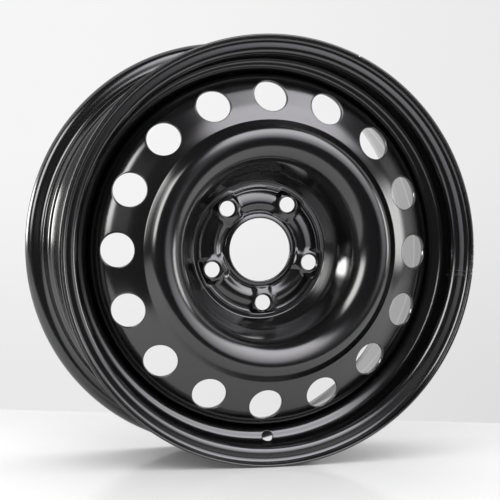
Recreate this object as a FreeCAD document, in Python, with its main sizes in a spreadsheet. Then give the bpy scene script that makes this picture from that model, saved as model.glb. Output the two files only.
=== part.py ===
import FreeCAD, Part
import math
import os
import Sketcher

# Steel road wheel: a rolled rim with a pressed disc welded into its well.
# The wheel turns about Y, the street side faces -Y and the origin is the rim's centre.

doc = FreeCAD.newDocument("steel_wheel")
sheet = doc.addObject("Spreadsheet::Sheet", "Size")

# Driving sizes in mm and degrees; a reach is a distance from the rim's centre plane, a width runs on from
# the place before it, and a drop, depth or height is measured from the bead seat or the face it stands on
sizes = (
    ("strip_thickness", 2.7),
    ("bead_radius", 202.8),
    ("bead_reach", 82.55),
    ("flange_height", 17.5),
    ("curl_bend", 9.0),
    ("lip_land", 0.95),
    ("lip_edge_bend", 1.1),
    ("heel_bend", 6.5),
    ("seat_width", 16.15),
    ("seat_drop", 1.7),
    ("hump_rise_width", 3.2),
    ("hump_drop", 0.4),
    ("hump_width", 5.2),
    ("hump_bend", 4.8),
    ("well_wall_width", 6.4),
    ("well_depth", 17.3),
    ("well_width", 31.6),
    ("well_bend", 8.0),
    ("ramp_width", 29.7),
    ("ramp_bend", 16.0),
    ("ledge_depth", 5.3),
    ("ledge_bend", 20.0),
    ("ledge_end_depth", 4.3),
    ("inner_seat_width", 18.05),
    ("inner_hump_width", 4.5),
    ("inner_rise_width", 4.0),
    ("inner_hump_bend", 3.8),
    ("valve_hole_radius", 5.75),
    ("valve_angle", 271.5),
    ("disc_thickness", 4.0),
    ("seat_clearance", 0.05),
    ("hub_reach", 41.0),
    ("bore_radius", 32.55),
    ("bore_edge_bend", 1.0),
    ("collar_width", 4.45),
    ("collar_height", 3.5),
    ("collar_bend", 4.6),
    ("collar_wall_width", 1.8),
    ("groove_bend", 1.0),
    ("groove_width", 3.0),
    ("bead_rise_width", 5.2),
    ("bead_width", 10.0),
    ("bead_fall_width", 4.6),
    ("bead_height", 3.6),
    ("bead_bend", 4.6),
    ("foot_bend", 2.2),
    ("bowl_foot_radius", 80.9),
    ("bowl_foot_bend", 12.0),
    ("crown_width", 28.3),
    ("crown_rise", 17.4),
    ("crown_bend", 16.0),
    ("crease_bend", 4.0),
    ("band_width", 28.3),
    ("band_drop", 12.6),
    ("band_bend", 60.0),
    ("shoulder_width", 20.75),
    ("shoulder_drop", 15.0),
    ("shoulder_bend", 13.0),
    ("flange_length", 36.6),
    ("flange_setback", 4.0),
    ("vent_count", 16),
    ("vent_radius", 17.6),
    ("vent_inset", 4.6),
    ("vent_tilt", 26.5),
    ("vent_phase", -0.94),
    ("bolt_count", 5),
    ("bolt_circle_radius", 55.0),
    ("bolt_hole_radius", 7.9),
    ("bolt_phase", 57.36),
    ("boss_height", 5.4),
    ("boss_top_radius", 10.4),
    ("boss_foot_radius", 13.0),
    ("boss_wall", 1.6),
    ("bolt_seat_depth", 2.4),
    ("bolt_seat_half_angle", 30.0),
    ("weld_count", 8),
    ("weld_span", 16.0),
    ("weld_throat", 3.6),
    ("weld_length", 5.0),
    ("weld_phase", 11.0),
)
for row, (alias, number) in enumerate(sizes, start=1):
    sheet.set("A%d" % row, alias)
    sheet.set("B%d" % row, str(number))
    sheet.setAlias("B%d" % row, alias)
doc.recompute()

# Places that rim, disc and welds share, in the sheet's terms
hump_radius = "(Size.bead_radius - Size.hump_drop)"
hump_start = "(Size.bead_reach - Size.seat_width - Size.hump_rise_width)"
hump_end = "(%s - Size.hump_width)" % hump_start
well_radius = "(Size.bead_radius - Size.well_depth)"
well_start = "(%s - Size.well_wall_width)" % hump_end
well_end = "(%s - Size.well_width)" % well_start
well_underside = "(%s - Size.strip_thickness)" % well_radius
flange_end = "(%s + Size.flange_setback)" % well_end


def value(text):
    """Number that an expression in the sheet's terms stands for."""
    return float(sheet.evalExpression(text))


def bend_arc(before, corner, after, bend):
    """Arc of the given radius at a corner with its two tangent points, drawn counter-clockwise."""
    to_before = (before - corner).normalize()
    to_after = (after - corner).normalize()
    half = to_before.getAngle(to_after) / 2.0
    first = corner + to_before * (bend / math.tan(half))
    second = corner + to_after * (bend / math.tan(half))
    centre = corner + (to_before + to_after).normalize() * (bend / math.sin(half))
    begin, finish = (first, second) if turns_left(before, corner, after) else (second, first)
    angles = [math.atan2(p.y - centre.y, p.x - centre.x) for p in (begin, finish)]
    circle = Part.Circle(centre, FreeCAD.Vector(0, 0, 1), bend)
    return first, Part.ArcOfCircle(circle, *angles), second


def shifted_corners(sharp, distance):
    """Corners of the line that runs beside a path, at a signed distance to its left."""
    shifted = []
    for i, corner in enumerate(sharp):
        before = sharp[max(i - 1, 0)]
        after = sharp[min(i + 1, len(sharp) - 1)]
        first = (corner - before).normalize() if i > 0 else (after - corner).normalize()
        second = (after - corner).normalize() if i < len(sharp) - 1 else first
        left = FreeCAD.Vector(-first.y - second.y, first.x + second.x, 0).normalize()
        stretch = distance / math.cos(first.getAngle(second) / 2.0)
        shifted.append(corner + left * stretch)
    return shifted


def turns_left(before, corner, after):
    """True where a path bends to its left."""
    return (corner - before).cross(after - corner).z > 0


def draw_side(sketch, rules, sharp, bends):
    """Straight runs and tangent bends through given corners; returns their numbers in the sketch."""
    starts = [sharp[0]]
    ends = []
    arcs = []
    for i, bend in enumerate(bends, start=1):
        first, arc, second = bend_arc(*sharp[i - 1:i + 2], bend)
        ends.append(first)
        starts.append(second)
        arcs.append(arc)
    ends.append(sharp[-1])
    lines = [sketch.addGeometry(Part.LineSegment(a, b)) for a, b in zip(starts, ends)]
    turns = [sketch.addGeometry(arc) for arc in arcs]
    for i, arc in enumerate(turns):
        near, far = (1, 2) if turns_left(*sharp[i:i + 3]) else (2, 1)
        rules.append((Sketcher.Constraint("Tangent", lines[i], 2, arc, near), None))
        rules.append((Sketcher.Constraint("Tangent", arc, far, lines[i + 1], 1), None))
    return lines, turns


def constrain(sketch, rules):
    """Adds all rules of a sketch at once and ties the dimensions among them to the sheet."""
    sketch.addConstraint([rule for rule, text in rules])
    for number, (rule, text) in enumerate(rules):
        if text:
            sketch.setExpression("Constraints[%d]" % number, text)


def sheet_section(body, label, corners, thickness, side):
    """Closed section of a sheet: a bent path and the line one thickness to its left, or right for side -1."""
    sketch = body.newObject("Sketcher::SketchObject", label)
    sketch.AttachmentSupport = [(origin_part(body, "XY_Plane"), "")]
    sketch.MapMode = "FlatFace"
    doc.recompute()
    sharp = [FreeCAD.Vector(value(r), value(y), 0) for r, y, bend in corners]
    beside = shifted_corners(sharp, side * value(thickness))
    grows = [turns_left(*sharp[i - 1:i + 2]) == (side < 0) for i in range(1, len(sharp) - 1)]
    inner = [bend for r, y, bend in corners[1:-1]]
    outer = ["%s %s %s" % (bend, "+" if more else "-", thickness) for bend, more in zip(inner, grows)]
    rules = []
    lines, turns = draw_side(sketch, rules, sharp, [value(text) for text in inner])
    back_lines, back_turns = draw_side(sketch, rules, beside, [value(text) for text in outer])
    for near, far, i in ((1, 1, 0), (2, 2, -1)):
        cap = sketch.addGeometry(Part.LineSegment(sharp[i], beside[i]))
        rules.append((Sketcher.Constraint("Coincident", cap, 1, lines[i], near), None))
        rules.append((Sketcher.Constraint("Coincident", cap, 2, back_lines[i], far), None))
        rules.append((Sketcher.Constraint("Perpendicular", cap, lines[i]), None))
        rules.append((Sketcher.Constraint("Parallel", lines[i], back_lines[i]), None))
    marks = [sketch.addGeometry(Part.Point(p), True) for p in sharp]
    rules.append((Sketcher.Constraint("Coincident", lines[0], 1, marks[0], 1), None))
    rules.append((Sketcher.Constraint("Coincident", lines[-1], 2, marks[-1], 1), None))
    for i, arc in enumerate(turns):
        rules.append((Sketcher.Constraint("PointOnObject", marks[i + 1], 1, lines[i]), None))
        rules.append((Sketcher.Constraint("PointOnObject", marks[i + 1], 1, lines[i + 1]), None))
        rules.append((Sketcher.Constraint("Coincident", arc, 3, back_turns[i], 3), None))
        rules.append((Sketcher.Constraint("Radius", arc, value(inner[i])), inner[i]))
        rules.append((Sketcher.Constraint("Radius", back_turns[i], value(outer[i])), outer[i]))
    for mark, point, (r, y, bend) in zip(marks, sharp, corners):
        rules.append((Sketcher.Constraint("DistanceX", -1, 1, mark, 1, point.x), r))
        rules.append((Sketcher.Constraint("DistanceY", -1, 1, mark, 1, point.y), y))
    constrain(sketch, rules)
    return sketch


def origin_part(body, role):
    """Plane or axis of a body's own origin."""
    return [part for part in body.Origin.OriginFeatures if part.Role == role][0]


def new_body(label):
    """Body that becomes one node of the wheel."""
    body = doc.addObject("PartDesign::Body", label)
    body.Label = label
    body.Placement = FreeCAD.Placement()
    doc.recompute()
    return body


def spin(body, sketch):
    """Full turn of a section about the wheel's axis."""
    ring = body.newObject("PartDesign::Revolution", sketch.Name + "_ring")
    ring.Profile = sketch
    ring.ReferenceAxis = (origin_part(body, "Y_Axis"), [""])
    ring.Angle = 360
    sketch.Visibility = False
    doc.recompute()
    return ring


def tool(body, kind, label, where, angle, tilt, bindings):
    """Cone or cylinder from a foot at a radius and height; its axis leans from -Y away from the hub."""
    radius, height = where
    piece = body.newObject("PartDesign::" + kind, label)
    turn_to_street = FreeCAD.Rotation(FreeCAD.Vector(1, 0, 0), 90)
    lean = FreeCAD.Rotation(FreeCAD.Vector(0, 0, 1), value(tilt))
    around = FreeCAD.Rotation(FreeCAD.Vector(0, 1, 0), -value(angle))
    piece.Placement = FreeCAD.Placement(FreeCAD.Vector(), around * lean * turn_to_street)
    piece.setExpression("Placement.Base.x", "(%s) * cos((%s) * 1 deg)" % (radius, angle))
    piece.setExpression("Placement.Base.y", height)
    piece.setExpression("Placement.Base.z", "(%s) * sin((%s) * 1 deg)" % (radius, angle))
    for name, text in bindings:
        piece.setExpression(name, text)
    doc.recompute()
    return piece


def ring_of(body, piece, count):
    """Repeats a feature evenly around the wheel's axis."""
    pattern = body.newObject("PartDesign::PolarPattern", piece.Name + "_ring")
    pattern.Originals = [piece]
    pattern.Axis = (origin_part(body, "Y_Axis"), [""])
    pattern.Angle = 360
    pattern.setExpression("Occurrences", count)
    body.Tip = pattern
    doc.recompute()
    return pattern


def round_edges(body, label, chosen, bend):
    """Rounds the circular edges that lie at given radii and heights."""
    base = body.Tip
    names = []
    for number, edge in enumerate(base.Shape.Edges, start=1):
        centre = edge.CenterOfMass
        first = edge.Vertexes[0].Point
        radius = math.hypot(first.x, first.z)
        on_axis = math.hypot(centre.x, centre.z) < 0.01
        if on_axis and any(abs(radius - r) < 0.01 and abs(first.y - y) < 0.01 for r, y in chosen):
            names.append("Edge%d" % number)
    rounding = body.newObject("PartDesign::Fillet", label)
    rounding.Base = (base, names)
    rounding.setExpression("Radius", bend)
    body.Tip = rounding
    doc.recompute()


def build_rim():
    """Rolled strip: lip, bead seat and hump on both sides, drop well and ledge between."""
    body = new_body("rim")
    lip_radius = "(Size.bead_radius + Size.flange_height)"
    lip_reach = "(Size.bead_reach + Size.curl_bend + Size.lip_land)"
    seat_end_radius = "(Size.bead_radius - Size.seat_drop)"
    ledge_start = "-(%s - Size.ramp_width)" % well_end
    inner_seat_end = "(Size.bead_reach - Size.inner_seat_width)"
    inner_hump = "(%s - Size.inner_hump_width)" % inner_seat_end
    ledge_end = "(%s - Size.inner_rise_width)" % inner_hump
    section = sheet_section(body, "rim_section", (
        (lip_radius, "-" + lip_reach, None),
        (lip_radius, "-Size.bead_reach", "Size.curl_bend"),
        ("Size.bead_radius", "-Size.bead_reach", "Size.heel_bend"),
        (seat_end_radius, "-(Size.bead_reach - Size.seat_width)", "Size.hump_bend"),
        (hump_radius, "-" + hump_start, "Size.hump_bend"),
        (hump_radius, "-" + hump_end, "Size.hump_bend"),
        (well_radius, "-" + well_start, "Size.well_bend"),
        (well_radius, "-" + well_end, "Size.ramp_bend"),
        ("Size.bead_radius - Size.ledge_depth", ledge_start, "Size.ledge_bend"),
        ("Size.bead_radius - Size.ledge_end_depth", ledge_end, "Size.inner_hump_bend"),
        (hump_radius, inner_hump, "Size.inner_hump_bend"),
        (seat_end_radius, inner_seat_end, "Size.inner_hump_bend"),
        ("Size.bead_radius", "Size.bead_reach", "Size.heel_bend"),
        (lip_radius, "Size.bead_reach", "Size.curl_bend"),
        (lip_radius, lip_reach, None),
    ), "Size.strip_thickness", 1)
    spin(body, section)
    lip = value(lip_radius)
    under = lip - value("Size.strip_thickness")
    reach = value(lip_reach)
    lip_edges = [(r, y) for r in (lip, under) for y in (reach, -reach)]
    round_edges(body, "lip_rounding", lip_edges, "Size.lip_edge_bend")
    wall_radius = "(%s + %s) / 2" % (hump_radius, well_radius)
    wall_height = "-(%s + %s) / 2" % (hump_end, well_start)
    wall_tilt = "-atan(Size.well_wall_width / (%s - %s)) / 1 deg" % (hump_radius, well_radius)
    back = "Size.strip_thickness * 3"
    foot = ("%s - %s * sin(%s * 1 deg)" % (wall_radius, back, wall_tilt),
            "%s + %s * cos(%s * 1 deg)" % (wall_height, back, wall_tilt))
    tool(body, "SubtractiveCylinder", "valve_hole", foot, "Size.valve_angle", wall_tilt, (
        ("Radius", "Size.valve_hole_radius"),
        ("Height", "Size.strip_thickness * 6"),
    ))
    return body


def build_disc():
    """Pressed disc: bore collar, groove, raised bead, contact ring, bowl, crown, vent band and flange."""
    body = new_body("disc")
    face = "-(Size.hub_reach + Size.disc_thickness)"
    collar = face + " - Size.collar_height"
    bead = face + " - Size.bead_height"
    collar_edge = "(Size.bore_radius + Size.collar_width)"
    groove = "(%s + Size.collar_wall_width)" % collar_edge
    bead_foot = "(%s + Size.groove_width)" % groove
    bead_top = "(%s + Size.bead_rise_width)" % bead_foot
    bead_top_end = "(%s + Size.bead_width)" % bead_top
    bead_end = "(%s + Size.bead_fall_width)" % bead_top_end
    flange = "(%s - Size.seat_clearance)" % well_underside
    shoulder = "(%s + Size.flange_length)" % flange_end
    band_end = ("(%s - Size.shoulder_width)" % flange, "(%s + Size.shoulder_drop)" % shoulder)
    crease = ("(%s - Size.band_width)" % band_end[0], "(%s + Size.band_drop)" % band_end[1])
    crown = ("(%s - Size.crown_width)" % crease[0], "(%s + Size.crown_rise)" % crease[1])
    section = sheet_section(body, "disc_section", (
        ("Size.bore_radius", collar, None),
        (collar_edge, collar, "Size.collar_bend"),
        (groove, face, "Size.groove_bend"),
        (bead_foot, face, "Size.foot_bend"),
        (bead_top, bead, "Size.bead_bend"),
        (bead_top_end, bead, "Size.bead_bend"),
        (bead_end, face, "Size.foot_bend"),
        ("Size.bowl_foot_radius", face, "Size.bowl_foot_bend"),
        (crown[0], "-" + crown[1], "Size.crown_bend"),
        (crease[0], "-" + crease[1], "Size.crease_bend"),
        (band_end[0], "-" + band_end[1], "Size.band_bend"),
        (flange, "-" + shoulder, "Size.shoulder_bend"),
        (flange, "-" + flange_end, None),
    ), "Size.disc_thickness", 1)
    spin(body, section)
    round_edges(body, "bore_rounding", [(value("Size.bore_radius"), value(collar))], "Size.bore_edge_bend")
    press_bolt_bosses(body, face)
    cut_vents(body, *band_end)
    return body


def press_bolt_bosses(body, face):
    """Five bosses pressed out around the bolt holes, hollow behind, each with a conical bolt seat."""
    place = "Size.bolt_circle_radius"
    angle = "Size.bolt_phase"
    slope = "(Size.boss_foot_radius - Size.boss_top_radius) / Size.boss_height"
    sunk = "(Size.disc_thickness - Size.bead_height) / 2"
    spare = "Size.disc_thickness / 2"
    boss = tool(body, "AdditiveCone", "boss", (place, face + " + " + sunk), angle, "0", (
        ("Radius1", "Size.boss_foot_radius + %s * %s" % (slope, sunk)),
        ("Radius2", "Size.boss_top_radius"),
        ("Height", "Size.boss_height + " + sunk),
    ))
    ring_of(body, boss, "Size.bolt_count")
    behind = face + " + Size.disc_thickness + " + spare
    hollow = tool(body, "SubtractiveCone", "boss_hollow", (place, behind), angle, "0", (
        ("Radius1", "Size.boss_foot_radius - Size.boss_wall + %s * %s" % (slope, spare)),
        ("Radius2", "Size.boss_top_radius - Size.boss_wall"),
        ("Height", "Size.boss_height + " + spare),
    ))
    ring_of(body, hollow, "Size.bolt_count")
    hole = tool(body, "SubtractiveCylinder", "bolt_hole", (place, "-Size.hub_reach"), angle, "0", (
        ("Radius", "Size.bolt_hole_radius"),
        ("Height", "Size.boss_height + Size.disc_thickness * 2"),
    ))
    ring_of(body, hole, "Size.bolt_count")
    spread = "tan(Size.bolt_seat_half_angle * 1 deg)"
    seat_foot = face + " - Size.boss_height + Size.bolt_seat_depth"
    seat = tool(body, "SubtractiveCone", "bolt_seat", (place, seat_foot), angle, "0", (
        ("Radius1", "Size.bolt_hole_radius"),
        ("Radius2", "Size.bolt_hole_radius + Size.bolt_seat_depth * 2 * " + spread),
        ("Height", "Size.bolt_seat_depth * 2"),
    ))
    ring_of(body, seat, "Size.bolt_count")


def cut_vents(body, band_end_radius, band_end_reach):
    """Round vents through the sloping band, each square to the band."""
    circle = "(%s - Size.vent_inset)" % band_end_radius
    height = "-(%s + Size.vent_inset * Size.band_drop / Size.band_width)" % band_end_reach
    back = "Size.disc_thickness * 4"
    foot = ("%s - %s * sin(Size.vent_tilt * 1 deg)" % (circle, back),
            "%s + %s * cos(Size.vent_tilt * 1 deg)" % (height, back))
    vent = tool(body, "SubtractiveCylinder", "vent", foot, "Size.vent_phase", "Size.vent_tilt", (
        ("Radius", "Size.vent_radius"),
        ("Height", "Size.disc_thickness * 8"),
    ))
    ring_of(body, vent, "Size.vent_count")


def build_welds():
    """Short fillet welds between the flange's free edge and the underside of the well."""
    edge = "-" + flange_end
    inward = well_underside + " - Size.weld_throat"
    corners = ((well_underside, edge), (well_underside, edge + " + Size.weld_length"), (inward, edge))
    beads = []
    for k in range(int(value("Size.weld_count"))):
        sketch = doc.addObject("Sketcher::SketchObject", "weld_section_%d" % k)
        points = [FreeCAD.Vector(value(r), value(y), 0) for r, y in corners]
        rules = []
        for i in range(len(corners)):
            sketch.addGeometry(Part.LineSegment(points[i], points[(i + 1) % 3]))
            rules.append((Sketcher.Constraint("Coincident", i, 2, (i + 1) % 3, 1), None))
        for i, (r, y) in enumerate(corners):
            rules.append((Sketcher.Constraint("DistanceX", -1, 1, i, 1, points[i].x), r))
            rules.append((Sketcher.Constraint("DistanceY", -1, 1, i, 1, points[i].y), y))
        constrain(sketch, rules)
        bead = doc.addObject("Part::Revolution", "weld_%d" % k)
        bead.Source = sketch
        bead.Axis = FreeCAD.Vector(0, 1, 0)
        bead.Solid = True
        bead.setExpression("Angle", "Size.weld_span")
        bead.Placement = FreeCAD.Placement(FreeCAD.Vector(), FreeCAD.Rotation(FreeCAD.Vector(0, 1, 0), 1))
        place = "(Size.weld_phase + %d * 360 / Size.weld_count) * 1 deg" % k
        bead.setExpression("Placement.Rotation.Angle", place)
        beads.append(bead)
    welds = doc.addObject("Part::Compound", "weld_beads")
    welds.Label = "weld_beads"
    welds.Links = beads
    doc.recompute()
    return welds


nodes = (build_rim(), build_disc(), build_welds())
doc.recompute()
for thing in doc.Objects:
    if "Invalid" in thing.State or "Error" in thing.State:
        raise RuntimeError("%s did not build: %s" % (thing.Label, thing.State))
os.makedirs("parts", exist_ok=True)
for node in nodes:
    if node.Shape.isNull() or not node.Shape.isValid():
        raise RuntimeError("%s has no valid shape" % node.Label)
    print(node.Label, len(node.Shape.Solids), round(node.Shape.Volume), node.Shape.BoundBox)
    node.Shape.exportStep("parts/%s.step" % node.Label)
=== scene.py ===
import math

import bpy
import numpy as np
from mathutils import Matrix, Vector


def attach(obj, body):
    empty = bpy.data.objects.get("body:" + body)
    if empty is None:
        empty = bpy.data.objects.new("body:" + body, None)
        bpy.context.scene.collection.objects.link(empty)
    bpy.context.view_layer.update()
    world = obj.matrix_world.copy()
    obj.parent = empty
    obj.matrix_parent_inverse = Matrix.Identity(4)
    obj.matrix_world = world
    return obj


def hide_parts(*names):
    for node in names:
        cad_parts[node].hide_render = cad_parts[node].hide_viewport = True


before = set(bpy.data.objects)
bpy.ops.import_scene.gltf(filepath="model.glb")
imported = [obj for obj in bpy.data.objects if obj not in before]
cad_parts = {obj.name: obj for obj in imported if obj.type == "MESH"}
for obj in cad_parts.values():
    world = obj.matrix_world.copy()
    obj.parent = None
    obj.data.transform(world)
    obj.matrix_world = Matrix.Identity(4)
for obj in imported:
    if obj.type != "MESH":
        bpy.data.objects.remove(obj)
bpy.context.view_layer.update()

# Sizes of the wheel in millimetres and degrees; y grows from the street side towards the car
MM = 0.001
FLOOR = -220.3
COLUMNS = 240
STRIP = 2.7
SHEET = 4.0
VENTS = 16
VENT_CENTRE = (158.2, -77.3)
VENT_RADIUS = 17.2
VENT_TILT = math.radians(14)
VENT_PHASE = -0.94
VENT_FRONT = (139.5, 176.8)
VENT_BACK = (137.6, 174.4)
BOLTS = 5
BOLT_CIRCLE = 55.0
BOLT_RADIUS = 7.9
SEAT_RADIUS = 9.5
BOLT_PHASE = 57.36
HUB_FACE = -45.0
BORE = 32.55
HUB_CELL = (39.8, 70.6)
VALVE_ANGLE = 271.5
VALVE_RADIUS = 5.75
VALVE_RUN = (193.95, -54.8)
VALVE_CELL = 8.6
VALVE_ROWS = 24
LIP_BEND = 1.1
FLANGE_BEND = 0.9
BAND_LIMIT = 177.0
EASY_FROM = (73, 6)
EASY_TO = (121, 8)

# Section lines: radius, height and bend of each corner
RIM_PATH = (
    (220.3, -92.5, 0), (220.3, -82.55, 9), (202.8, -82.55, 6.5), (201.1, -66.4, 4.8), (202.4, -63.2, 4.8),
    (202.4, -58, 4.8), (185.5, -51.6, 8), (185.5, -20, 16), (197.5, 9.7, 20), (198.5, 56, 3.8),
    (202.4, 60, 3.8), (201.1, 64.5, 3.8), (202.8, 82.55, 6.5), (220.3, 82.55, 9), (220.3, 92.5, 0),
)
RIM_INSIDE = (
    *RIM_PATH[:2], (202.8, -82.55, 5.4), (201.4, -67.5, 6), (202.0, -57.3, 12), (185.5, -51.6, 9.3),
    *RIM_PATH[7:],
)
DISC_PATH = (
    (62, -45, 0), (71.2, -45, 0.6), (81.9, -56.4, 16), (96.0, -99.6, 28), (123.1, -99.6, 14),
    (133.7, -88.2, 1), (146, -83.7, 90), (182.75, -64.7, 33.7), (182.75, -24, 0),
)


# Lines and surfaces

def bent_line(corners, step=0.25):
    """Line of straight runs with a round bend at each corner, as points one step apart.

    A bend is the arc that touches both of its runs.
    """
    sharp = np.array([c[:2] for c in corners], float)
    along = np.diff(sharp, axis=0)
    along /= np.linalg.norm(along, axis=1)[:, None]
    pieces = [sharp[:1]]
    for i in range(1, len(sharp) - 1):
        first, second = along[i - 1], along[i]
        turn = math.atan2(first[0] * second[1] - first[1] * second[0], first @ second)
        bend = corners[i][2]
        start = sharp[i] - first * bend * math.tan(abs(turn) / 2)
        side = math.copysign(1.0, turn) * np.array((-first[1], first[0]))
        sweep = np.linspace(0, abs(turn), 3 + round(bend * abs(turn) / step))[:, None]
        pieces.append(start + bend * (np.sin(sweep) * first + (1 - np.cos(sweep)) * side))
    drawn = np.vstack((*pieces, sharp[-1:]))
    run = np.concatenate(((0,), np.cumsum(np.linalg.norm(np.diff(drawn, axis=0), axis=1))))
    even = np.linspace(0, run[-1], 1 + round(run[-1] / step))
    return np.stack([np.interp(even, run, drawn[:, k]) for k in range(2)], axis=1)


def eased(line, count):
    """Line whose bends grow and fade evenly: each point is its neighbours' mean under a Hann window.

    The count of points in the window is odd, and the ends are taken to run straight on.
    """
    half = count // 2
    weight = np.hanning(count + 2)[1:-1]
    steps = np.arange(1, half + 1)[:, None]
    lead = line[0] + (line[0] - line[1]) * steps[::-1]
    trail = line[-1] + (line[-1] - line[-2]) * steps
    longer = np.vstack((lead, line, trail))
    return np.stack([np.convolve(longer[:, k], weight / weight.sum(), "valid") for k in range(2)], axis=1)


def left_of(line):
    """Unit normals on the left of a line."""
    heading = np.gradient(line, axis=0)
    heading /= np.linalg.norm(heading, axis=1)[:, None]
    return np.stack((-heading[:, 1], heading[:, 0]), axis=1)


def rows_of(line, turn=6.0, reach=7.0):
    """Numbers of the points that a mesh needs: one for each turn in degrees, and for each reach along it."""
    heading = np.diff(line, axis=0)
    bent = np.abs(np.diff(np.unwrap(np.arctan2(heading[:, 1], heading[:, 0]))))
    need = np.linalg.norm(heading, axis=1) / reach
    need[1:] += np.degrees(bent) / turn
    total = np.concatenate(((0,), np.cumsum(need)))
    return np.unique(np.searchsorted(total, np.linspace(0, total[-1], 1 + round(total[-1])) - 1e-9))


def end_cap(front, back, outwards, bend):
    """Rounded sheet edge between two end points: a quarter circle, a short flat and a quarter circle."""
    across = (back - front) / np.linalg.norm(back - front)
    sweep = np.linspace(0, math.pi / 2, 6)
    reach = np.sin(sweep)[:, None] * bend * outwards
    inset = (1 - np.cos(sweep))[:, None] * bend * across
    return np.vstack((front + reach + inset, (back + reach - inset)[::-1]))


def placed(radius, degrees, height):
    """Points given by their radius, angle and height about the wheel's axis."""
    angle = np.radians(degrees)
    return np.stack(np.broadcast_arrays(radius * np.cos(angle), height, radius * np.sin(angle)), axis=-1)


def turned(path, angles):
    """Surface of revolution about Y: each point of a line in radius and height is carried round."""
    return placed(path[:, :1], angles, path[:, 1:2])


def smooth(share):
    """Rise from 0 to 1 with level ends, from three squares less two cubes."""
    share = np.clip(share, 0, 1)
    return share * share * (3 - 2 * share)


def soft_max(one, two, blend):
    """Greater of two heights, with a parabola of the given width where they meet."""
    near = np.clip(blend - np.abs(one - two), 0, None)
    return np.maximum(one, two) + near * near / (4 * blend)


def soft_min(one, two, blend):
    """Lesser of two heights, with a parabola of the given width where they meet."""
    return -soft_max(-one, -two, blend)


class Skin:
    """Grids of points that are joined into one closed mesh."""

    def __init__(self):
        self.points, self.faces, self.count = [], [], 0

    def add(self, grid, closed=True, flip=False):
        """Adds a grid's quads; its columns run round and close, and flip turns its faces over."""
        rows, columns = grid.shape[:2]
        index = np.arange(rows * columns).reshape(rows, columns) + self.count
        right = np.roll(index, -1, axis=1)
        if not closed:
            index, right = index[:, :-1], right[:, :-1]
        quads = np.stack((index[:-1], right[:-1], right[1:], index[1:]), axis=-1).reshape(-1, 4)
        self.points.append(grid.reshape(-1, 3))
        self.faces.append(quads[:, ::-1] if flip else quads)
        self.count += rows * columns

    def mesh(self, name):
        """Mesh in metres with equal points made one; a quad with a side of no length is a triangle."""
        points = np.vstack(self.points)
        faces = np.vstack(self.faces)
        _, keep, same = np.unique(np.round(points, 3), axis=0, return_index=True, return_inverse=True)
        faces = [tuple(dict.fromkeys(face)) for face in same.reshape(-1)[faces].tolist()]
        mesh = bpy.data.meshes.new(name)
        mesh.from_pydata((points[keep] * MM).tolist(), [], [face for face in faces if len(face) > 2])
        mesh.polygons.foreach_set("use_smooth", np.ones(len(mesh.polygons), bool))
        mesh.update()
        return mesh


def shown(name, mesh, material, slot, *nodes):
    """Piece of the wheel that rides on the frame's only body and stands for its solid."""
    piece = bpy.data.objects.new(name, mesh)
    bpy.context.scene.collection.objects.link(piece)
    mesh.materials.append(material)
    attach(piece, "root")
    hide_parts(*nodes)
    return piece


def cell_border(low, high, half, across, along):
    """Once round a ring sector, as radius and angle: inner arc, far side, outer arc, near side."""
    arc = np.linspace(-half, half, across + 1)[:-1]
    run = np.linspace(low, high, along + 1)[:-1]
    step = (high - low) / along
    radius = np.concatenate((np.full(across, low), run, np.full(across, high), run[::-1] + step))
    angle = np.concatenate((arc, np.full(along, half), -arc, np.full(along, -half)))
    return radius, angle


def between(edge, border, rows, grade):
    """Lines from a hole's edge to its cell's border, straight in radius and angle, closer near the hole."""
    share = np.linspace(0, 1, rows)[:, None] ** grade
    return tuple(e + (b - e) * share for e, b in zip(edge, border))


# Rim

def rim_side(path, away):
    """One side of the strip: points in radius and height, their runs, the valve's run, rows before its patch.

    The side lies away from the path on its left. Rows follow its bends, and stand evenly beside the valve.
    """
    spare = 0.4
    line = eased(bent_line(path), 13)
    side = line + away * left_of(line)
    run = np.concatenate(((0,), np.cumsum(np.linalg.norm(np.diff(side, axis=0), axis=1))))
    middle = run[np.hypot(*(side - np.array(VALVE_RUN)).T).argmin()]
    rows = run[rows_of(line)]
    window = middle + np.linspace(-VALVE_CELL, VALVE_CELL, VALVE_ROWS + 1)
    nearer = rows[rows < window[0] - spare]
    stations = np.concatenate((nearer, window, rows[rows > window[-1] + spare]))
    points = np.stack([np.interp(stations, run, side[:, k]) for k in range(2)], axis=1)
    points[0, 1] += LIP_BEND
    points[-1, 1] -= LIP_BEND
    return points, stations, middle, len(nearer)


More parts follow.
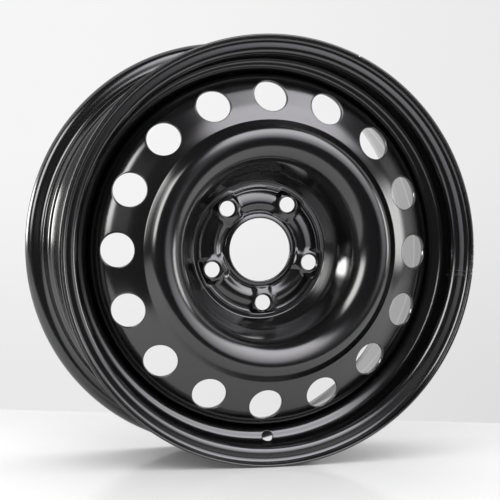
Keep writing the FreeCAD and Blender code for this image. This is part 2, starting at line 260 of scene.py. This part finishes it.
def rim_mesh():
    """Rolled strip carried round the axis, with the valve hole in the wall between street hump and well.

    The section is the tyre side's line, the axle side's line a strip's thickness beside it, and rounded lips.
    Columns stand closer at the valve, where a patch runs from the hole's edge to a sector of the grid.
    """
    sides = rim_side(RIM_PATH, 0.0), rim_side(RIM_INSIDE, STRIP)
    outer, inner = sides[0][0], sides[1][0]
    ends = np.array((0.0, 1.0))
    front = end_cap(inner[0], outer[0], -ends, LIP_BEND)
    back = end_cap(outer[-1], inner[-1], ends, LIP_BEND)
    half, fine = 3.5, 24
    angles = np.concatenate((np.linspace(-half, half, fine + 1)[:-1],
                             np.linspace(half, 360 - half, COLUMNS + 1)[:-1])) + VALVE_ANGLE
    skin = Skin()
    skin.add(turned(front, angles), flip=True)
    skin.add(turned(back, angles), flip=True)
    arc = np.linspace(-half, half, fine + 1)[:-1]
    steps = np.linspace(-VALVE_CELL, VALVE_CELL, VALVE_ROWS + 1)
    border = (np.concatenate((np.full(fine, steps[0]), steps[:-1], np.full(fine, steps[-1]), steps[:0:-1])),
              np.concatenate((arc, np.full(VALVE_ROWS, half), -arc, np.full(VALVE_ROWS, -half))))
    round_hole = np.arctan2(np.radians(border[1]) * VALVE_RUN[0], border[0])

    def on(side, along, angle):
        """Points of a side, by their run and angle from the valve."""
        points, stations, middle, _ = side
        radius = np.interp(along + middle, stations, points[:, 0])
        return placed(radius, angle + VALVE_ANGLE, np.interp(along + middle, stations, points[:, 1]))

    def rim_of_hole(radius):
        """Circle round the valve, as run and angle from it."""
        return radius * np.cos(round_hole), np.degrees(radius * np.sin(round_hole) / VALVE_RUN[0])

    bend = 0.6
    patch = between(rim_of_hole(VALVE_RADIUS + bend), border, 7, 1.2)
    for side, flip in zip(sides, (True, False)):
        points, _, _, first = side
        last = first + VALVE_ROWS
        skin.add(turned(points[:first + 1], angles), flip=flip)
        skin.add(turned(points[last:], angles), flip=flip)
        rest = angles[fine:].tolist() + [angles[0] + 360]
        skin.add(turned(points[first:last + 1], rest), closed=False, flip=flip)
        skin.add(on(side, *patch), flip=not flip)
    sweep = np.linspace(0, math.pi / 2, 5)
    wall = [(VALVE_RADIUS + bend * (1 - math.sin(a)), bend * (1 - math.cos(a)) / STRIP) for a in sweep]
    wall += [(size, 1 - share) for size, share in reversed(wall)]
    rings = [on(sides[0], *rim_of_hole(r)) * (1 - s) + on(sides[1], *rim_of_hole(r)) * s for r, s in wall]
    skin.add(np.stack(rings), flip=True)
    return skin.mesh("rim")


# Disc

def hub_rise(radius, degrees):
    """Height of the hub pressing above the hub face, towards the street.

    A collar of quarter-ellipse section stands round the bore. Between it and the outer foot the sheet is
    pressed out to a level, with a dome round each bolt hole. The outer foot bulges at the bolts, and five
    pockets with sloping ends run along the collar between the bolts.
    """
    level, collar_width, collar_top = 3.2, 6.4, 3.4
    dome_rise, dome_reach, dome_fade = 2.1, 16.8, 9.2
    bulge_half, bulge_fade = 14.5, 4.5
    foot_radius, foot_bulge = 61.9, 4.6
    top_radius, top_bulge = 49.5, 11.0
    ridge_rise, ridge_radius, ridge_bulge, ridge_width = 0.55, 64.9, 2.6, 1.0
    pocket_half, pocket_fade = 17.5, 8.5
    pocket_inside, inside_fade = 35.0, 6.5
    flank_radius, flank_width = 41.3, 6.4
    collar_reach = 51
    share = 360 / BOLTS
    from_bolt = (degrees - BOLT_PHASE + share / 2) % share - share / 2
    turn = np.radians(from_bolt)
    from_hole = np.hypot(radius * np.cos(turn) - BOLT_CIRCLE, radius * np.sin(turn))
    raised = level + dome_rise * smooth((dome_reach - from_hole) / dome_fade)
    bulge = smooth((bulge_half - np.abs(from_bolt)) / bulge_fade)
    foot = foot_radius + foot_bulge * bulge
    top = top_radius + top_bulge * bulge
    outer = 1 - np.clip((radius - top) / (foot - top), 0, 1) ** 2
    ridge = ridge_rise * np.exp(-((radius - ridge_radius - ridge_bulge * bulge) / ridge_width) ** 2)
    collar = collar_top * np.sqrt(np.clip(1 - (np.clip(radius - BORE, 0, None) / collar_width) ** 2, 0, 1))
    past_end = np.radians(np.abs(np.abs(from_bolt) - share / 2) - pocket_half) * radius
    ends = smooth(past_end / pocket_fade) * smooth((radius - pocket_inside) / inside_fade)
    flank = soft_min(np.clip((radius - flank_radius) / flank_width, 0, None), 1.0, 0.3)
    inner = 1 - (1 - flank) * (1 - ends)
    body = raised * inner * outer + ridge
    return np.where(radius < collar_reach, soft_max(collar, body, 1.2), body)


def hub_blocks(skin, columns):
    """Hub: bore wall, collar rows, and a patch from each bolt hole to its fifth of the ring, both sides."""
    low, high = HUB_CELL
    back_face = HUB_FACE + SHEET
    bevel, bore_bend, collar_count = 0.4, 1.2, 14
    seat_mouth = SEAT_RADIUS + bevel
    hole_mouth = BOLT_RADIUS + bevel
    cone = math.radians(30)
    sweep = np.linspace(0, math.pi / 2, 6)
    edge = BORE + bore_bend * (1 - np.sin(sweep))[::-1]
    collar_rows = np.concatenate((edge, np.linspace(BORE + bore_bend, low, collar_count)[1:]))
    drop = np.concatenate((bore_bend * (1 - np.cos(sweep))[::-1], np.zeros(collar_count - 1)))
    radius = np.repeat(collar_rows[:, None], len(columns), axis=1)
    rise = hub_rise(radius, columns)
    front = placed(radius, columns, HUB_FACE - rise + drop[:, None])
    behind = placed(radius, columns, back_face - rise - 0.5 * drop[:, None])
    skin.add(front, flip=True)
    skin.add(behind)
    skin.add(np.stack((front[0], (front[0] + behind[0]) / 2, behind[0])))
    half = 180 / BOLTS
    border = cell_border(low, high, half, COLUMNS // BOLTS, 30)
    turn = np.radians(border[1])
    way = np.arctan2(border[0] * np.sin(turn), border[0] * np.cos(turn) - BOLT_CIRCLE)

    def ring(size):
        """Circle round a bolt hole, as radius and angle about the wheel's axis."""
        across, up = BOLT_CIRCLE + size * np.cos(way), size * np.sin(way)
        return np.hypot(across, up), np.degrees(np.arctan2(up, across))

    for k in range(BOLTS):
        middle = BOLT_PHASE + k * 360 / BOLTS
        edges = []
        for size, rows, face, flip in ((seat_mouth, 28, HUB_FACE, False), (hole_mouth, 8, back_face, True)):
            span, angle = between(ring(size), border, rows, 1.15)
            height = face - hub_rise(span, angle + middle)
            skin.add(placed(span, angle + middle, height), flip=flip)
            edges.append(height[0])
        mouth, outlet = edges
        seat_end = mouth.mean() + 0.3 + (SEAT_RADIUS - BOLT_RADIUS) / math.tan(cone)
        wall = ((seat_mouth, mouth), (SEAT_RADIUS + 0.12, mouth + 0.08), (SEAT_RADIUS, mouth + 0.3),
                (BOLT_RADIUS + 0.1, seat_end - 0.15), (BOLT_RADIUS, seat_end + 0.15),
                (BOLT_RADIUS, outlet - 0.5), (BOLT_RADIUS + 0.1, outlet - 0.15), (hole_mouth, outlet))
        skin.add(np.stack([placed(ring(s)[0], ring(s)[1] + middle, y) for s, y in wall]), flip=True)


def height_at(line, radius):
    """Height of a line that climbs in radius, short of the flange that runs along the axis."""
    climbing = slice(0, np.argmax(line[:, 0] > BAND_LIMIT))
    return np.interp(radius, line[climbing, 0], line[climbing, 1])


def vent_blocks(skin, front, back):
    """Sloping band: a patch from each vent to its sixteenth of the ring, on both sides, and the vent's wall.

    The vent is a cylinder that leans with the band. A point of its edge is found by sliding along the
    cylinder until its height is the band's at its radius.
    """
    across = COLUMNS // VENTS
    bend = 0.8
    half = 180 / VENTS
    lean, rise = math.sin(VENT_TILT), math.cos(VENT_TILT)

    def cylinder(size, way, slide):
        """Radius, angle and height of a point on a cylinder round the vent's leaning axis."""
        reach = VENT_CENTRE[0] + size * np.cos(way) * rise + slide * lean
        aside = size * np.sin(way)
        height = VENT_CENTRE[1] + size * np.cos(way) * lean - slide * rise
        return np.hypot(reach, aside), np.degrees(np.arctan2(aside, reach)), height

    def slide_to(line, size, way):
        """Slides along the vent's axis that bring a circle onto the band."""
        slide = np.zeros_like(way)
        for _ in range(14):
            radius, _, height = cylinder(size, way, slide)
            slide = slide + (height - height_at(line, radius)) / rise
        return slide

    border = cell_border(*VENT_FRONT, half, across, 18)
    inner_border = cell_border(*VENT_BACK, half, across, 18)
    way = np.arctan2(np.radians(border[1]) * VENT_CENTRE[0], (border[0] - VENT_CENTRE[0]) / rise)
    top = slide_to(front, VENT_RADIUS + bend, way)
    bottom = slide_to(back, VENT_RADIUS + bend, way)
    sweep = np.linspace(0, math.pi / 2, 5)
    wall = [(VENT_RADIUS + bend * (1 - math.sin(a)), top - bend * (1 - math.cos(a))) for a in sweep]
    wall += [(VENT_RADIUS + bend * (1 - math.sin(a)), bottom + bend * (1 - math.cos(a))) for a in sweep[::-1]]
    for k in range(VENTS):
        middle = VENT_PHASE + k * 360 / VENTS
        for line, edge, cell, flip in ((front, top, border, False), (back, bottom, inner_border, True)):
            radius, angle, _ = cylinder(VENT_RADIUS + bend, way, edge)
            span, angle = between((radius, angle), cell, 8, 1.3)
            skin.add(placed(span, angle + middle, height_at(line, span)), flip=flip)
        sides = [cylinder(size, way, slide) for size, slide in wall]
        skin.add(np.stack([placed(r, a + middle, y) for r, a, y in sides]), flip=True)


def disc_line():
    """Front line of the disc from hub face to flange: bowl and crown in easy bends, both creases crisper."""
    drawn = bent_line(DISC_PATH)
    easy = eased(drawn, 41)
    crisp = eased(drawn, 7)
    radius = drawn[:, :1]
    share = smooth((radius - EASY_FROM[0]) / EASY_FROM[1]) * (1 - smooth((radius - EASY_TO[0]) / EASY_TO[1]))
    return crisp * (1 - share) + easy * share


def disc_mesh():
    """Pressed disc: hub, bowl, crown, vent band, shoulder and flange, a sheet's thickness through.

    Rings join the hub's columns, which stand at the bolts, to the band's, which stand at the vents: each ring
    is turned a little further than the one before.
    """
    hub_gap, vent_gap = 0.5, 0.3
    front = disc_line()
    back = front + SHEET * left_of(front)
    rows = rows_of(front)
    step = 360 / COLUMNS
    vent_columns = VENT_PHASE - 180 / VENTS + np.arange(COLUMNS) * step
    shift = (BOLT_PHASE - 180 / BOLTS - vent_columns[0] + step / 2) % step - step / 2
    skin = Skin()
    hub_blocks(skin, vent_columns + shift)
    vent_blocks(skin, front, back)
    sides = (front, HUB_FACE, VENT_FRONT, True), (back, HUB_FACE + SHEET, VENT_BACK, False)
    for line, face, span, flip in sides:
        inside = line[rows][(line[rows, 0] > HUB_CELL[1] + hub_gap) & (line[rows, 0] < span[0] - vent_gap)]
        edges = [(r, height_at(line, r)) for r in span]
        bowl = np.vstack(((HUB_CELL[1], face), inside, edges[0]))
        twist = np.linspace(1, 0, len(bowl))[:, None] * shift
        skin.add(turned(bowl, vent_columns + twist), flip=flip)
        beyond = line[rows][np.argmax(line[rows, 0] > span[1] + vent_gap):].copy()
        beyond[-1, 1] -= FLANGE_BEND
        skin.add(turned(np.vstack((edges[1], beyond)), vent_columns), flip=flip)
    ends = front[-1] - (0, FLANGE_BEND), back[-1] - (0, FLANGE_BEND)
    skin.add(turned(end_cap(*ends, np.array((0.0, 1.0)), FLANGE_BEND), vent_columns), flip=True)
    return skin.mesh("disc")


# Welds

def weld_mesh():
    """Eight weld beads where the flange ends in the well: a bulging section carried along an arc in ripples.

    The section is a quarter circle against flange edge and well. Its size swells over each ripple and dies
    away at both ends of the bead.
    """
    count, span, phase = 8, 16.0, 11.0
    well, end, bite = 182.8, -24.0, 0.02
    leg, length, root = 3.6, 4.8, (-0.1,)
    along = np.linspace(0, 1, 97)
    ends = np.clip(np.minimum(along, 1 - along) / 0.07, 0, 1)
    ripple = 0.9 + 0.1 * np.abs(np.sin(along * math.pi * 22))
    size = np.sqrt(ends * (2 - ends)) * ripple
    sweep = np.linspace(0, math.pi / 2, 9)
    skin = Skin()
    for k in range(count):
        angle = -(phase + k * 360 / count) - span * along
        inward = np.concatenate((leg * np.cos(sweep), root))[:, None] * size
        deeper = np.concatenate((length * np.sin(sweep), root))[:, None] * size
        ring = placed(well + bite - inward, angle, end - bite + deeper)
        skin.add(np.swapaxes(ring, 0, 1))
    return skin.mesh("weld_beads")


# Materials

class Value:
    """Socket that takes part in sums: each operator adds its Math node."""

    def __init__(self, paint, socket):
        self.paint, self.socket = paint, socket

    def math(self, operation, *others):
        """Math node whose first number is this value."""
        return self.paint.node("ShaderNodeMath", {"operation": operation}, (self, *others))

    def __add__(self, other):
        return self.math("ADD", other)

    def __sub__(self, other):
        return self.math("SUBTRACT", other)

    def __rsub__(self, other):
        return self.paint.node("ShaderNodeMath", {"operation": "SUBTRACT"}, (other, self))

    def __mul__(self, other):
        return self.math("MULTIPLY", other)

    def __truediv__(self, other):
        return self.math("DIVIDE", other)

    __radd__ = __add__
    __rmul__ = __mul__

    def ramp(self, low, high):
        """Share from 0 to 1 as the value goes from low to high, with level ends."""
        sockets = {"Value": self, "From Min": low, "From Max": high}
        return self.paint.node("ShaderNodeMapRange", {"interpolation_type": "SMOOTHSTEP"}, sockets, "Result")


class Paint:
    """Material under construction: its nodes come from one method."""

    def __init__(self, name):
        self.material = bpy.data.materials.new(name)
        self.material.use_nodes = True
        self.tree = self.material.node_tree
        self.shader = self.tree.nodes["Principled BSDF"]

    def node(self, kind, settings, sockets, output=0):
        """Adds a node, sets or links its sockets and gives one of its outputs."""
        made = self.tree.nodes.new(kind)
        for name, setting in settings.items():
            setattr(made, name, setting)
        for name, value in sockets.items() if isinstance(sockets, dict) else enumerate(sockets):
            if isinstance(value, Value):
                self.tree.links.new(value.socket, made.inputs[name])
            else:
                made.inputs[name].default_value = value
        return Value(self, made.outputs[output])

    def set(self, **sockets):
        """Sets or links the shader's own sockets, an underscore standing for a space."""
        for name, value in sockets.items():
            socket = self.shader.inputs[name.replace("_", " ")]
            if isinstance(value, Value):
                self.tree.links.new(value.socket, socket)
            else:
                socket.default_value = value

    def place(self):
        """Object coordinates and their three numbers."""
        where = self.node("ShaderNodeTexCoord", {}, {}, "Object")
        parts = self.node("ShaderNodeSeparateXYZ", {}, (where,))
        outputs = parts.socket.node.outputs
        return where, [Value(self, outputs[k]) for k in range(3)]

    def vector(self, x, y, z):
        """Vector of three numbers."""
        return self.node("ShaderNodeCombineXYZ", {}, (x, y, z))

    def noise(self, where, scale, detail=2.0, rough=0.5):
        """Cloudy texture between 0 and 1."""
        sockets = {"Vector": where, "Scale": scale, "Detail": detail, "Roughness": rough}
        return self.node("ShaderNodeTexNoise", {}, sockets)

    def mix(self, share, one, two):
        """Blend of two colours."""
        return self.node("ShaderNodeMix", {"data_type": "RGBA"}, {0: share, 6: one, 7: two}, 2)

    def spot(self, where, point, size):
        """Share that falls from 1 at a point to 0 a size away from it."""
        away = self.node("ShaderNodeVectorMath", {"operation": "DISTANCE"}, (where, point), "Value")
        return 1 - away.ramp(0.0, size)

    def bump(self, height, distance):
        """Normal that a height bends."""
        sockets = {"Strength": 1.0, "Distance": distance, "Height": height}
        return self.node("ShaderNodeBump", {}, sockets, "Normal")


BLACK = (0.0024, 0.0024, 0.0028, 1)
DUST = (0.11, 0.105, 0.10, 1)
STEEL = (0.62, 0.61, 0.59, 1)


def paint_base(name):
    """Textures of satin black stoved paint: fine peel, drawing lines round the axis, uneven gloss, dust."""
    paint = Paint(name)
    where, (x, y, z) = paint.place()
    radius = (x * x + z * z).math("SQRT")
    round_axis = paint.vector(radius * 420.0 + y * 300.0, x / radius * 2.2, z / radius * 2.2)
    peel = paint.noise(where, 520.0, 2.0)
    lines = paint.noise(round_axis, 1.0, 3.0, 0.6)
    cloud = paint.noise(where, 26.0, 4.0, 0.55)
    grit = paint.noise(where, 1900.0, 1.0)
    return paint, where, (x, y, z), radius, (peel, lines, cloud, grit)


def finish_paint(paint, textures, marks=0.0, bare=0.0, relief=0.0):
    """Gloss, colour and bump shared by the wheel's painted pieces, with dull marks and bare spots let in."""
    peel, lines, cloud, grit = textures
    dust = grit.ramp(0.74, 0.80) * cloud.ramp(0.5, 0.75) * 0.25
    tone = paint.mix(dust + marks * 0.55, BLACK, DUST)
    paint.set(Base_Color=paint.mix(bare, tone, STEEL) if isinstance(bare, Value) else tone)
    paint.set(Roughness=0.135 + cloud * 0.05 + lines * 0.03 + dust * 0.3 + marks * 0.28)
    height = peel * 0.3 + lines * 0.1 + relief
    paint.set(Normal=paint.bump(height, 0.00004), IOR=1.62, Specular_IOR_Level=0.8)
    return paint.material


def rim_paint():
    """Rim: base paint, a ground butt weld with scuffs across the street lip, chips on it, dust inside."""
    paint, where, (x, y, z), radius, textures = paint_base("rim black paint")
    grit = textures[-1]
    angle = z.math("ARCTAN2", x)
    street = 1 - y.ramp(-0.075, -0.066)
    ragged = paint.noise(where, 300.0, 4.0, 0.7)
    across = paint.noise(paint.vector(angle * 260.0, radius * 60.0, y * 60.0), 1.0, 3.0, 0.6)
    seam = 1 - (angle + 0.122 + (ragged - 0.5) * 0.03).math("ABSOLUTE").ramp(0.012, 0.034)
    scuffs = seam * street * across.ramp(0.5, 0.72)
    flat = 1 - (angle + 0.065).math("ABSOLUTE").ramp(0.05, 0.16)
    lip = radius.ramp(0.2185, 0.2196) * (1 - y.ramp(-0.0915, -0.0895))
    chips = lip * flat * ragged.ramp(0.54, 0.60)
    upper = paint.spot(where, (0.0931, -0.0920, 0.1990), 0.0016)
    left = paint.spot(where, (-0.2175, -0.0890, 0.0330), 0.0013)
    bare = (chips + (upper + left).ramp(0.15, 0.35)).math("MINIMUM", 1.0)
    inside = (1 - radius.ramp(0.198, 0.2005)) * (1 - y.ramp(-0.062, -0.052))
    upper_left = paint.spot(where, (-0.150, -0.055, 0.125), 0.13)
    specks = grit.ramp(0.60, 0.68) * inside * upper_left.ramp(0.0, 0.5)
    marks = (scuffs * 0.7 + specks * 0.8).math("MINIMUM", 1.0)
    relief = seam * street * across * 1.6
    return finish_paint(paint, textures, marks, bare, relief)


def disc_paint():
    """Disc: base paint with fine radial draw marks left by the press on the vent band."""
    paint, _, (x, _, z), radius, textures = paint_base("disc black paint")
    drawn = paint.noise(paint.vector(x / radius * 150.0, z / radius * 150.0, radius * 14.0), 1.0, 2.0, 0.5)
    band = radius.ramp(0.134, 0.140) * (1 - radius.ramp(0.168, 0.176))
    return finish_paint(paint, textures, 0.0, 0.0, drawn * band * 0.35)


def weld_paint():
    """Weld beads: the same paint over rough weld metal with small spatter."""
    paint, where, _, _, textures = paint_base("weld black paint")
    rough = paint.noise(where, 420.0, 4.0, 0.65)
    return finish_paint(paint, textures, rough.ramp(0.55, 0.75) * 0.35, 0.0, rough * 3.0)


# Stage, lights and camera, in metres
BACKDROP_RUN = (0.872, -0.489, 0.0)
BACKDROP_FOOT = (0.0995, 0.3216, FLOOR * MM)
DARK_REACH = 2.6
WARM = (1.0, 1.0, 0.985, 1)
COOL = (0.97, 0.95, 1.0, 1)
WHITE = (1.0, 1.0, 1.0, 1)
UNLIT = (0, 0, 0, 1)


def grey(level):
    """Colour of equal red, green and blue."""
    return (level, level, level, 1)


def floor_paint():
    """Pale floor, greyer near the backdrop by painted shade, with a faint mirror image at the flat angle it
    is seen from.
    """
    level = 0.975
    paint = Paint("pale floor")
    where, (x, y, _) = paint.place()
    cloud = paint.noise(where, 3.0, 2.0)
    # Painted shade: the floor's colour greys towards the backdrop's foot, standing in for light that falls
    # off there.
    far = (x * -BACKDROP_RUN[1] + y * BACKDROP_RUN[0]).ramp(0.0, 0.33)
    share = (far + cloud * 0.08).math("MINIMUM", 1.0)
    paint.set(Base_Color=paint.mix(share, grey(level), grey(level * 0.87)), Roughness=0.12, IOR=1.06)
    return paint.material


def backdrop_paint():
    """White backdrop: light towards the stage, with painted shade that leaves it dimmer low down and to the
    right, clear seen from behind.
    """
    paint = Paint("white backdrop")
    _, (x, _, z) = paint.place()
    # Painted shade: the backdrop's glow is dimmed low down and to the right, where less light falls.
    low = 1 - z.ramp(-0.22, 0.12)
    right = x.ramp(-0.1, 0.5)
    white = paint.mix(low * 0.5 + right * 0.5, grey(0.915), grey(0.72))
    light = paint.node("ShaderNodeEmission", {}, {"Color": white})
    clear = paint.node("ShaderNodeBsdfTransparent", {}, {})
    behind = paint.node("ShaderNodeNewGeometry", {}, {}, "Backfacing")
    either = paint.node("ShaderNodeMixShader", {}, (behind, light, clear))
    paint.tree.links.new(either.socket, paint.tree.nodes["Material Output"].inputs["Surface"])
    return paint.material


def dark_paint():
    """Faint even glow of a dark room, seen in the paint's reflections."""
    paint = Paint("dark room")
    paint.set(Base_Color=UNLIT, Specular_IOR_Level=0.0)
    paint.set(Emission_Color=(0.95, 0.95, 1.0, 1), Emission_Strength=0.07)
    return paint.material


def stage_mesh(name, grid, material):
    """Sheet of the studio, which isn't part of the wheel."""
    rows, columns = grid.shape[:2]
    index = np.arange(rows * columns).reshape(rows, columns)
    quads = np.stack((index[:-1, :-1], index[:-1, 1:], index[1:, 1:], index[1:, :-1]), axis=-1).reshape(-1, 4)
    mesh = bpy.data.meshes.new(name)
    mesh.from_pydata(grid.reshape(-1, 3).tolist(), [], quads.tolist())
    mesh.polygons.foreach_set("use_smooth", np.ones(len(mesh.polygons), bool))
    mesh.materials.append(material)
    sheet = bpy.data.objects.new(name, mesh)
    bpy.context.scene.collection.objects.link(sheet)
    return sheet


def towards(azimuth, elevation, distance):
    """Point at a distance from the wheel's centre; azimuth runs from the street side to the right."""
    a, e = math.radians(azimuth), math.radians(elevation)
    return Vector((math.sin(a) * math.cos(e), -math.cos(a) * math.cos(e), math.sin(e))) * distance


def reflected_only(sheet):
    """Keeps a screen or panel to the reflections in the paint."""
    sheet.visible_camera = False
    sheet.visible_diffuse = False
    sheet.visible_shadow = False
    sheet.visible_transmission = False


def softbox(name, centre, width, height, soft, glare, colour, low=1.0):
    """Diffusing panel turned to the wheel; its glare dies away over a soft border, kept as a point attribute.

    A panel that is lit from the top falls to the low share of its glare, and its lower left corner is cut.
    """
    back = centre.normalized()
    right = Vector((0, 0, 1)).cross(back).normalized()
    up = back.cross(right)
    across = np.linspace(-0.5, 0.5, 33) * (width + soft)
    upward = np.linspace(-0.5, 0.5, 33) * (height + soft)
    u, v = np.meshgrid(across, upward)
    grid = np.array(centre) + u[..., None] * np.array(right) + v[..., None] * np.array(up)
    level = smooth(0.5 + (width / 2 - np.abs(u)) / soft) * smooth(0.5 + (height / 2 - np.abs(v)) / soft)
    if low < 1.0:
        level *= low + (1 - low) * smooth((v / height + 0.5) / 0.8)
        level *= smooth(0.5 + (u / width + v / height + 0.5) / 0.16)
    paint = Paint(name)
    share = paint.node("ShaderNodeAttribute", {"attribute_name": "glare"}, {}, "Fac")
    paint.set(Base_Color=UNLIT, Specular_IOR_Level=0.0)
    paint.set(Emission_Color=paint.mix(share, UNLIT, colour), Emission_Strength=glare)
    sheet = stage_mesh(name, grid, paint.material)
    sheet.data.attributes.new("glare", "FLOAT", "POINT").data.foreach_set("value", level.reshape(-1))
    reflected_only(sheet)


def soft_lamp(name, centre, size, energy):
    """Large soft lamp for the floor and its shadows; the panels stand for it in reflections."""
    data = bpy.data.lights.new(name, "AREA")
    data.size = size
    data.energy = energy
    lamp = bpy.data.objects.new(name, data)
    lamp.location = centre
    lamp.rotation_mode = "QUATERNION"
    lamp.rotation_quaternion = centre.to_track_quat("Z", "Y")
    lamp.visible_camera = False
    lamp.visible_glossy = False
    bpy.context.scene.collection.objects.link(lamp)


def build_stage():
    """Pale floor, and a backdrop that lets the back lamp through."""
    side = np.linspace(-6.0, 6.0, 13)
    floor = np.stack(np.broadcast_arrays(side[None, :], side[:, None], np.array(FLOOR * MM)), axis=-1)
    stage_mesh("floor", floor, floor_paint())
    run = np.linspace(-5.0, 5.0, 21)[None, :, None]
    climb = np.linspace(0.0, 3.0, 13)[:, None, None]
    wall = np.array(BACKDROP_FOOT) + run * np.array(BACKDROP_RUN) + climb * np.array((0.0, 0.0, 1.0))
    backdrop = stage_mesh("backdrop", wall, backdrop_paint())
    backdrop.visible_shadow = False


def build_dark_room():
    """Dark shell and dark ground on the street side, seen by reflections alone."""
    dark = dark_paint()
    turn = np.radians(np.linspace(-97, 100, 40))[None, :]
    climb = np.radians(np.linspace(-6, 90, 25))[:, None]
    level = np.cos(climb)
    shell = np.stack(np.broadcast_arrays(np.sin(turn) * level, -np.cos(turn) * level, np.sin(climb)), axis=-1)
    reflected_only(stage_mesh("dark_screen", shell * DARK_REACH, dark))
    across = np.linspace(-DARK_REACH, DARK_REACH, 9)[None, :]
    along = np.linspace(-2.7, -0.50, 5)[:, None]
    ground = np.stack(np.broadcast_arrays(across, along, np.array(FLOOR * MM + 0.001)), axis=-1)
    reflected_only(stage_mesh("dark_ground", ground, dark))


def build_lights():
    """Soft panels that the paint reflects, and two lamps for the floor and its shadows."""
    softbox("softbox_left", towards(-59.5, 23, 1.9), 0.74, 1.26, 0.30, 7.0, WARM)
    softbox("softbox_right", towards(61, 4, 1.8), 0.34, 0.68, 0.26, 7.0, WARM)
    softbox("softbox_top", towards(23, 25, 1.9), 1.65, 2.25, 0.35, 4.9, COOL, 0.26)
    softbox("back_panel", Vector((0.08, 0.26, 0.06)), 0.28, 0.30, 0.05, 1.6, WHITE)
    softbox("panel_behind", towards(-120, 9, 1.6), 0.95, 0.50, 0.10, 14.0, WARM)
    soft_lamp("front_lamp", towards(-20, 42, 2.6), 2.4, 28.0)
    soft_lamp("back_lamp", towards(165, 42, 2.6), 2.4, 28.0)


def build_world():
    """Even white surroundings: one level lights the stage, the other is seen directly and in reflections."""
    world = bpy.data.worlds.new("studio")
    bpy.context.scene.world = world
    world.use_nodes = True
    nodes, links = world.node_tree.nodes, world.node_tree.links
    path = nodes.new("ShaderNodeLightPath")
    seen = nodes.new("ShaderNodeMath")
    seen.operation = "ADD"
    links.new(path.outputs["Is Camera Ray"], seen.inputs[0])
    links.new(path.outputs["Is Glossy Ray"], seen.inputs[1])
    clear = nodes.new("ShaderNodeMath")
    clear.operation = "ADD"
    clear.use_clamp = True
    links.new(seen.outputs[0], clear.inputs[0])
    links.new(path.outputs["Is Transmission Ray"], clear.inputs[1])
    blend = nodes.new("ShaderNodeMix")
    blend.data_type = "RGBA"
    blend.inputs[6].default_value = grey(0.84)
    blend.inputs[7].default_value = grey(0.90)
    links.new(clear.outputs[0], blend.inputs[0])
    links.new(blend.outputs[2], nodes["Background"].inputs["Color"])


def build_camera():
    """Camera at the photograph's place, turned by its own right, up and back directions."""
    data = bpy.data.cameras.new("camera")
    data.sensor_width = 36.0
    data.lens = 149.76
    data.clip_start, data.clip_end = 0.05, 50.0
    camera = bpy.data.objects.new("camera", data)
    right = Vector((0.95823, -0.28602, 0.0))
    up = Vector((0.01218, 0.04079, 0.99909))
    back = Vector((-0.28576, -0.95736, 0.04257))
    turn = Matrix((right, up, back)).transposed().to_4x4()
    camera.matrix_world = Matrix.Translation((-0.6253, -2.1063, 0.0912)) @ turn
    bpy.context.scene.collection.objects.link(camera)
    bpy.context.scene.camera = camera


shown("rim_skin", rim_mesh(), rim_paint(), "rim_paint", "rim")
shown("disc_skin", disc_mesh(), disc_paint(), "disc_paint", "disc")
shown("weld_skin", weld_mesh(), weld_paint(), "weld_paint", "weld_beads")
build_stage()
build_dark_room()
build_lights()
build_world()
build_camera()
bpy.context.scene.view_settings.view_transform = "Standard"
